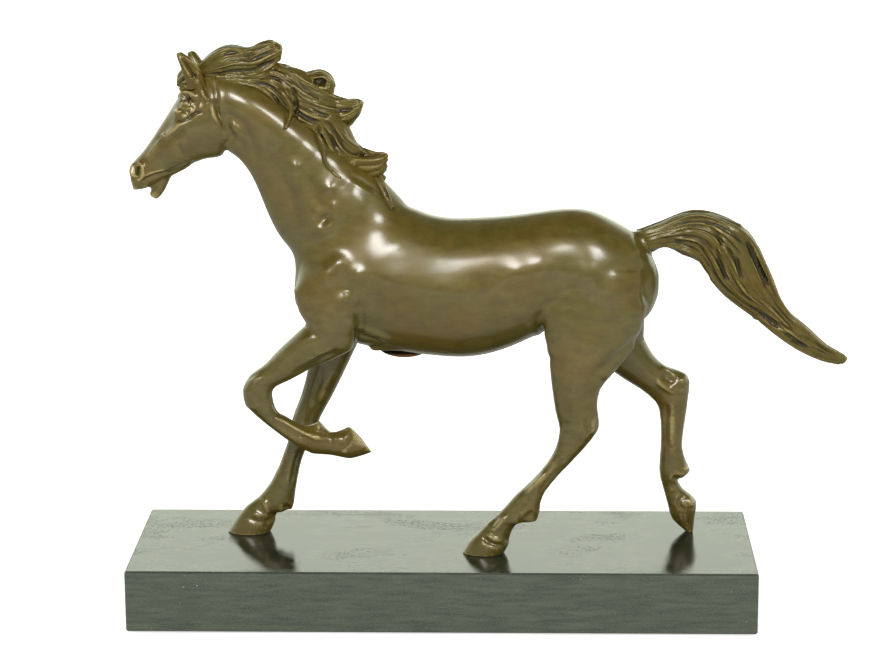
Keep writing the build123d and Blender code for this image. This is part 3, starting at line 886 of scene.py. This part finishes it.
def between(guides, count, wave, seed):
    """Strands spread from the first guide to the last, each a little wavy in its own way."""
    guides = np.array(guides, float)
    strands = []
    for i in range(count):
        share = (i + 0.5 * math.sin(3.7 * i + seed)) / max(count - 1, 1)
        share = min(max(share, 0.0), 1.0) * (len(guides) - 1)
        low = min(int(share), len(guides) - 2)
        line = guides[low] + (guides[low + 1] - guides[low]) * (share - low)
        line = curve_through(line)
        steps = np.linspace(0, 1, len(line))
        sway = wave * np.sin(2 * math.pi * (1.3 * steps + 0.37 * i) + seed) * np.sin(math.pi * steps)
        ahead = np.gradient(line, axis=0)
        ahead /= np.linalg.norm(ahead, axis=1)[:, None] + 1e-9
        strands.append(line + sway[:, None] * ahead[:, ::-1] * [-1, 1])
    return strands


def drawn(*lines):
    """Strands drawn one by one through given points."""
    return [curve_through(line) for line in lines]


def hair_piece(name, strand_sets, carving, seat_on=(), with_mass=True, voxel=hair_voxel):
    """A lock: its CAD mass with strands laid on it, grown together and carved, as one closed surface.

    Each set is (sides, proud, radius, lines); the strands thin out towards both ends.
    """
    mass = merged_copy([name], name + "_mass")
    surface = tree_of([mass.data, *[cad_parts[n].data for n in seat_on]])
    with edited(mass.data) as shape:
        if not with_mass:
            shape.clear()
        for sides, proud, radius, lines in strand_sets:
            for side in sides:
                for i, line in enumerate(lines):
                    points = seated(line, side, surface, proud)
                    t = np.linspace(0, 1, len(points))
                    thick = radius * (1 + 0.28 * math.sin(2.3 * i + side)) * MM
                    swell = np.sin(math.pi * np.clip(0.12 + 0.8 * t, 0, 1)) ** 0.7
                    tube(shape, points, thick * (0.35 + 0.65 * swell))
    apply_modifier(mass, "REMESH", mode="VOXEL", voxel_size=voxel)
    mass.name = name + "_hair"
    keep_widest(mass)
    soften(mass.data, 1)
    raise_points(mass.data, stroked_on(mass.data, carving))
    soften(mass.data, 1)
    mass.data.shade_smooth()
    relief_of(mass.data, 12, 0.42)
    mass.data.materials.clear()
    mass.data.materials.append(bronze_hair)
    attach(mass, "root")
    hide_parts(name)


def cut_between(guides, count, depth, radius, wave, seed):
    """Fine grooves that follow the guides."""
    return [(-depth, radius, *line[::5]) for line in between(guides, count, wave, seed)]


both, left, right = (-1, 1), (-1,), (1,)
poll_guides = [
    [(-115, 263.5), (-108, 269.5), (-100, 273), (-91, 272), (-84, 274.5), (-79, 276)],
    [(-114, 262), (-106, 266), (-98, 269), (-89, 269), (-82, 272), (-75, 274)],
    [(-113, 261), (-104, 263), (-96, 264.5), (-88, 264.5), (-81, 268), (-75.5, 271)],
    [(-111, 260.3), (-103, 260.3), (-95, 260.3), (-88, 260.6), (-81, 263.8), (-76.5, 267.5)],
]
hair_piece("poll_lock", [
    (both, -0.2, 1.4, between(poll_guides, 9, 0.4, 0.4)),
    (both, 0.1, 0.6, between(poll_guides, 9, 0.8, 2.1)),
    (both, 0.3, 0.9, drawn([(-88, 273.5), (-84.5, 275), (-81, 275.8), (-78.5, 275)])),
], [
    *cut_between(poll_guides, 12, 0.45, 0.45, 0.6, 1.3),
    (-1.0, 0.8, (-104, 266.5), (-97, 268), (-89, 268), (-82, 270.5), (-77, 272.5)),
    (-0.9, 0.8, (-104, 262.3), (-96, 262.2), (-89, 262.5), (-83, 265.3), (-78, 267.8)),
    (-0.7, 0.7, (-110, 266.5), (-103, 270.5), (-95, 271.3)),
])
upper_guides = [
    [(-84, 263.5), (-76, 265), (-70, 261.5), (-64, 257), (-57, 253), (-50, 249), (-43, 247.5), (-38, 247)],
    [(-94, 261.5), (-83, 261.5), (-75, 259.5), (-69, 254.5), (-63, 250), (-56, 247), (-48, 245), (-40, 245)],
    [(-105, 260), (-93, 259.5), (-83, 258.5), (-76, 254.5), (-70, 248), (-64, 244.5), (-57, 241.5),
     (-50, 240)],
    [(-109, 258), (-99, 257.5), (-89, 255.5), (-81, 251), (-75.5, 245), (-70.5, 240.5), (-64, 237),
     (-58, 233.5)],
]
lower_guides = [
    [(-51, 242), (-46, 234), (-43, 229.5), (-38, 225.5), (-32, 223), (-26.5, 223)],
    [(-57, 239), (-51, 231), (-47.5, 226), (-42, 222), (-34, 221), (-28, 221.5)],
    [(-62, 238), (-55.5, 230), (-53, 224), (-50, 219), (-46, 216), (-40, 213.5)],
    [(-60, 236), (-57, 229), (-55.8, 223), (-53, 217.5), (-48.5, 214), (-43, 212.3)],
]
hair_piece("mane_crest", [
    (both, -0.15, 1.5, between(upper_guides, 11, 0.6, 0.9)),
    (both, 0.1, 0.65, between(upper_guides, 13, 1.1, 2.6)),
    (both, -0.15, 1.4, between(lower_guides, 7, 0.5, 1.7)),
    (both, 0.1, 0.65, between(lower_guides, 7, 0.9, 0.3)),
    (both, 0.5, 0.8, drawn(
        [(-67, 245.2), (-62, 243.5), (-58, 241.2), (-54, 239.3)],
        [(-108, 258.8), (-103.5, 257), (-100, 253.8), (-95.5, 251)],
        [(-86, 257.5), (-79, 257), (-73.5, 255), (-68, 251)],
    )),
], [
    *cut_between(upper_guides, 16, 0.55, 0.45, 0.9, 0.6),
    *cut_between(lower_guides, 9, 0.5, 0.45, 0.7, 2.2),
    (-1.6, 1.3, (-90, 258), (-84, 254.5), (-79, 249.5), (-75.8, 243), (-74.6, 238)),
    (-1.6, 1.0, (-70.5, 254.5), (-68.7, 249), (-68.3, 243), (-69.3, 238.5)),
    (-1.4, 1.0, (-69, 243.5), (-64.5, 240), (-60, 237.5), (-56.5, 233.5)),
    (-1.5, 1.0, (-60, 236.5), (-57.3, 231), (-56, 224.5), (-54.5, 218.5), (-50, 214)),
    (-1.0, 0.9, (-52, 233), (-50.5, 227), (-49.5, 221), (-47.5, 216.5)),
    (-0.9, 0.9, (-96, 260.3), (-88, 259.6), (-80, 259.6), (-73, 257.6)),
])
middle_guides = [
    [(-58, 250), (-50, 249.5), (-44, 248.3), (-39, 248), (-36.5, 246.5)],
    [(-60, 246), (-52, 245), (-46, 244.5), (-41, 245.5), (-37, 246)],
    [(-60, 241), (-51, 239.8), (-46, 241), (-41.5, 243.5), (-37.5, 245.5)],
    [(-58, 238), (-51, 236), (-45.5, 236), (-41.5, 238.5), (-38.5, 242.5)],
]
hair_piece("middle_lock", [
    (both, -0.1, 1.2, between(middle_guides, 6, 0.3, 1.1)),
    (both, 0.4, 0.85, drawn([(-51, 239.5), (-46.5, 240.6), (-42, 243), (-38, 245.3)])),
], [
    (-1.3, 1.2, (-51, 242.5), (-46, 243.2), (-41.5, 244.8)),
    *cut_between(middle_guides, 8, 0.4, 0.45, 0.3, 0.4),
])
curl_guides = [
    [(-75, 263), (-68, 259.5), (-62, 260.8), (-57, 261.8), (-52.5, 259), (-50.5, 254)],
    [(-74, 260), (-67, 257), (-62, 258), (-57, 259), (-53, 257), (-51, 252)],
    [(-73, 258), (-66, 253), (-61, 252.5), (-57, 253), (-53.5, 252.5), (-51, 250)],
]
hair_piece("curl_lock", [
    (both, -0.1, 1.2, between(curl_guides, 6, 0.3, 0.2)),
    (both, 0.6, 0.8, drawn([
        (-61, 256.5), (-59, 258.6), (-55, 259), (-52.3, 257), (-53, 254.6), (-57, 254), (-60.5, 255),
    ])),
], [
    (-3.2, 1.5, (-60, 256.3), (-57, 256.9), (-54, 256.3)), *cut_between(curl_guides, 6, 0.4, 0.45, 0.3, 0.9),
])
canoe_guides = [
    [(-50, 223), (-42, 220.8), (-34, 220.3), (-28.5, 221.5), (-25.8, 223.5)],
    [(-50.5, 219.5), (-43, 216.8), (-35, 215.6), (-29, 216.8), (-25.8, 220.5)],
    [(-49.5, 216.8), (-44, 213.2), (-36, 211.3), (-30, 211.8), (-26.2, 216)],
]
hair_piece("lower_lock", [
    (both, 0.2, 0.85, drawn([
        (-49.5, 222.6), (-44, 221.4), (-36, 220.8), (-30, 221.3), (-26.3, 222.6),
    ])),
    (both, -0.7, 1.6, between(canoe_guides, 6, 0.15, 0.6)),
], [(-1.5, 1.1, (-45, 224.3), (-40, 222.9), (-34, 222.6), (-28.5, 223.2))])
# The strands that lie on the neck are thin, and are built up from their own tubes alone.
thin_strand = {"seat_on": ["neck_casting", "mane_crest", "body_casting"], "with_mass": False,
               "voxel": fine_voxel}
hair_piece("withers_strand", [
    (left, 0.5, 1.1, drawn([(-30, 213), (-27.3, 208), (-25.2, 202.5), (-23.4, 197)])),
    (left, 0.3, 0.8, drawn([(-31.5, 211), (-28.5, 206.5), (-26.3, 201.5), (-23.8, 196)])),
], [(-0.7, 0.45, (-29.5, 211), (-27, 206), (-25, 200.5))], **thin_strand)
for side, name, across in ((left, "left_upper_lock", 0.0), (right, "right_upper_lock", -3.0)):
    front = [(-77 + across, 254.5), (-73.8 + across, 250.5), (-72, 246), (-71.8, 241), (-73.3, 235.5)]
    rear = [(-75 + across, 254.5), (-72 + across, 250), (-70.3, 245.5), (-70.4, 241), (-72.6, 235.5)]
    hair_piece(name, [(side, 1.5, 1.5, drawn(front)), (side, 0.9, 1.2, drawn(rear))],
               [(-0.3, 0.4, *rear)], **thin_strand)
for side, name, across in ((left, "left_lower_lock", 0.0), (right, "right_lower_lock", -2.5)):
    front = [(-60 + across, 235), (-57.2 + across, 230.5), (-55.4, 225), (-54.6, 219.5), (-51.5, 213.5),
             (-47.5, 210.8)]
    rear = [(-58 + across, 236), (-55 + across, 230.5), (-53.2, 225), (-52.4, 219.5), (-49.5, 214.5)]
    hair_piece(name, [(side, 1.0, 1.2, drawn(front)), (side, 0.5, 1.0, drawn(rear))],
               [(-0.5, 0.4, *rear)], **thin_strand)
hair_piece("forelock", [
    (both, 0.2, 0.9, between([
        [(-113, 262), (-118, 263), (-122.5, 260), (-124.5, 255.5)],
        [(-113, 258), (-117, 259), (-121, 257), (-123.5, 253.5)],
        [(-113, 256), (-116.5, 255.5), (-119.5, 254.5), (-122.5, 252.5)],
    ], 6, 0.4, 0.8)),
    (both, 0.5, 1.2, drawn([(-113, 262.5), (-119, 263), (-123, 260.5), (-124, 256)])),
], [
    (-0.7, 0.6, (-114, 260.5), (-118.5, 261), (-122.5, 257.5)),
    (-0.7, 0.6, (-114, 257), (-118, 257.3), (-122, 254.5)),
])

# --- tail ---
# One streaming casting, solid, pinned at the dock. Its strands twist over each other half way down.
tail_guides = [
    [(93, 184.5), (106, 188.5), (120, 193.5), (133, 190.5), (145, 183.5), (151, 174.5), (156, 164),
     (160, 153), (166, 144), (174, 137), (183, 129), (193, 123.5)],
    [(93.5, 182.5), (107, 186.5), (121, 190.5), (132, 187), (142, 180), (148, 170), (153, 160),
     (158, 151), (165, 142), (174, 134.5), (184, 128), (193.5, 122.8)],
    [(94.5, 180.5), (107, 183.5), (120, 186), (129, 182), (136, 174), (141, 164), (147, 155),
     (156, 147), (165, 139), (174, 133), (184, 126.5), (193.5, 122)],
    [(96.5, 178.5), (107, 180.8), (118, 181), (125, 176.5), (130, 168), (135, 160), (143, 152),
     (153, 146), (163, 138), (173, 131), (183, 124.5), (192, 121.5)],
    [(98.5, 176.8), (107, 178.5), (117, 175.5), (123, 171), (128, 163), (134, 155.8), (142, 149.5),
     (150, 143.5), (160, 135.5), (171, 127.8), (182, 122.8), (190.5, 120.8)],
]
hair_piece("tail_casting", [
    (both, -0.5, 2.0, between(tail_guides, 9, 0.5, 0.5)),
    (both, -0.1, 0.8, between(tail_guides, 15, 1.2, 2.2)),
    (both, 0.35, 1.0, drawn(
        [(106, 184), (114, 185.6), (120, 184.3), (125, 180.5), (128, 174), (128.6, 168),
         (131, 162), (135, 157), (140, 152)],
        [(132, 179), (135, 169), (137.5, 161.5), (141, 156), (146, 151.5), (151, 148.3),
         (156, 146), (161, 142.3), (166, 139.5)],
        [(113, 191), (124, 192.5), (131, 190), (138, 187.2), (144, 184), (149, 178.5),
         (152.5, 172), (155.5, 164)],
        [(158, 139), (163, 137), (168, 135), (174, 131.5), (182, 129), (190, 125.5)],
    )),
    (both, 0.2, 0.75, drawn(
        [(126, 189), (131, 184.5), (135, 178), (138, 170), (141, 162), (146, 155)],
        [(132, 188.5), (138, 183), (142, 177), (144, 169), (148, 161), (153, 154)],
        [(118, 181), (123.5, 176), (126, 169), (130, 161.5)],
    )),
], [
    (-1.1, 2.6, (92.5, 185), (95, 181), (98.5, 175)),
    *cut_between(tail_guides, 17, 0.5, 0.45, 0.8, 1.9),
    (-2.2, 1.1, (144, 182.5), (147.5, 177), (150.5, 170), (153.5, 163), (157.5, 156.5)),
    (-1.0, 0.9, (125, 190), (129, 186.5), (132.5, 181), (134.5, 174)),
    (-0.9, 0.9, (140, 176), (141.3, 168), (143.5, 160.5), (147.5, 153.5)),
    (-0.9, 0.8, (130, 179), (132, 171), (134.7, 164), (138, 158.8)),
    (-1.3, 1.1, (150, 146), (156, 142.8), (160.5, 139.8), (167, 137.5), (173, 134.5)),
    (-0.8, 1.2, (102, 181.5), (110, 181), (117, 178), (121.5, 174)),
    (-0.7, 0.7, (164, 133.5), (172, 130), (181, 126.5), (188, 123.8)),
], seat_on=["body_casting"])

# --- ears ---
# Two small solid castings let into the poll. Each is hollowed on its outer side like a leaf, with a rim
# on both edges that handling has rubbed bright.
head_surface = tree_of([pieces["head_casting"].data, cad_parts["left_ear"].data,
                        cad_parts["right_ear"].data])
for name, side in (("left_ear", -1), ("right_ear", 1)):
    ear = merged_copy([name], name + "_carved")
    with edited(ear.data) as shape:
        for line, radius in (
            ([(-117, 260), (-114.5, 256), (-112.3, 251), (-110.5, 246.5)], 2.6),
            ([(-115.5, 261), (-112.5, 257.5), (-110.8, 253), (-109.5, 248.5)], 1.8),
        ):
            points = seated(curve_through(line), side, head_surface, -0.9)
            tube(shape, points, radius * MM * np.linspace(1, 0.45, len(points)))
    apply_modifier(ear, "REMESH", mode="VOXEL", voxel_size=fine_voxel)
    keep_widest(ear)
    soften(ear.data, 6)
    across = points_of(ear.data)[:, 1]
    outer = (across - across.mean()) * side > 0
    raise_points(ear.data, outer * stroked_on(ear.data, [
        (-1.5, 1.5, (-122, 268.5), (-119.7, 264.5), (-117, 260.5), (-114.8, 257)),
        (0.6, 0.7, (-123.6, 270.5), (-121.6, 265.5), (-118.6, 260.5), (-116, 257.5)),
        (0.7, 0.7, (-119.3, 270.5), (-116.5, 266), (-113.8, 262), (-111.6, 258)),
    ]))
    soften(ear.data, 2)
    ear.data.shade_smooth()
    relief_of(ear.data, 12, 0.3)
    ear.data.materials.clear()
    ear.data.materials.append(bronze_hair)
    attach(ear, "root")
    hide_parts(name)

# --- studs, nuts, washers and pins ---
# Turned and plated steel, screwed up into the feet from under the slab and hidden once it stands.
steel = bpy.data.materials.new("zinc_plated_steel")
look = emptied(steel)
place = look.place()
spangle = look.add("TexVoronoi", Vector=place, Scale=1500).outputs["Distance"]
turned = look.noise(look.stretched(place, (1, 1, 30)), 160, 3)
look.principled(
    Base_Color=look.mix(spangle, (0.42, 0.43, 0.44, 1), (0.56, 0.57, 0.58, 1)), Metallic=1.0,
    Roughness=look.spread(turned, to_low=0.28, to_high=0.48), Normal=look.bump(turned, 0.3, 0.0001),
)
for name in ("mounting_studs", "mounting_washers", "mounting_nuts", "toe_pin", "joint_dowels"):
    dress(name, steel)

# --- felt pad ---
# Pressed dark green wool felt, 1 mm thick, glued under the slab so that it doesn't scratch a shelf.
felt = bpy.data.materials.new("green_felt")
look = emptied(felt)
tuft = look.noise(look.place(), 900, 5, 0.75)
look.principled(
    Base_Color=look.mix(tuft, (0.012, 0.03, 0.016, 1), (0.035, 0.07, 0.04, 1)), Roughness=0.95,
    Sheen_Weight=0.5, Normal=look.bump(tuft, 0.8, 0.0003),
)
dress("base_felt", felt)
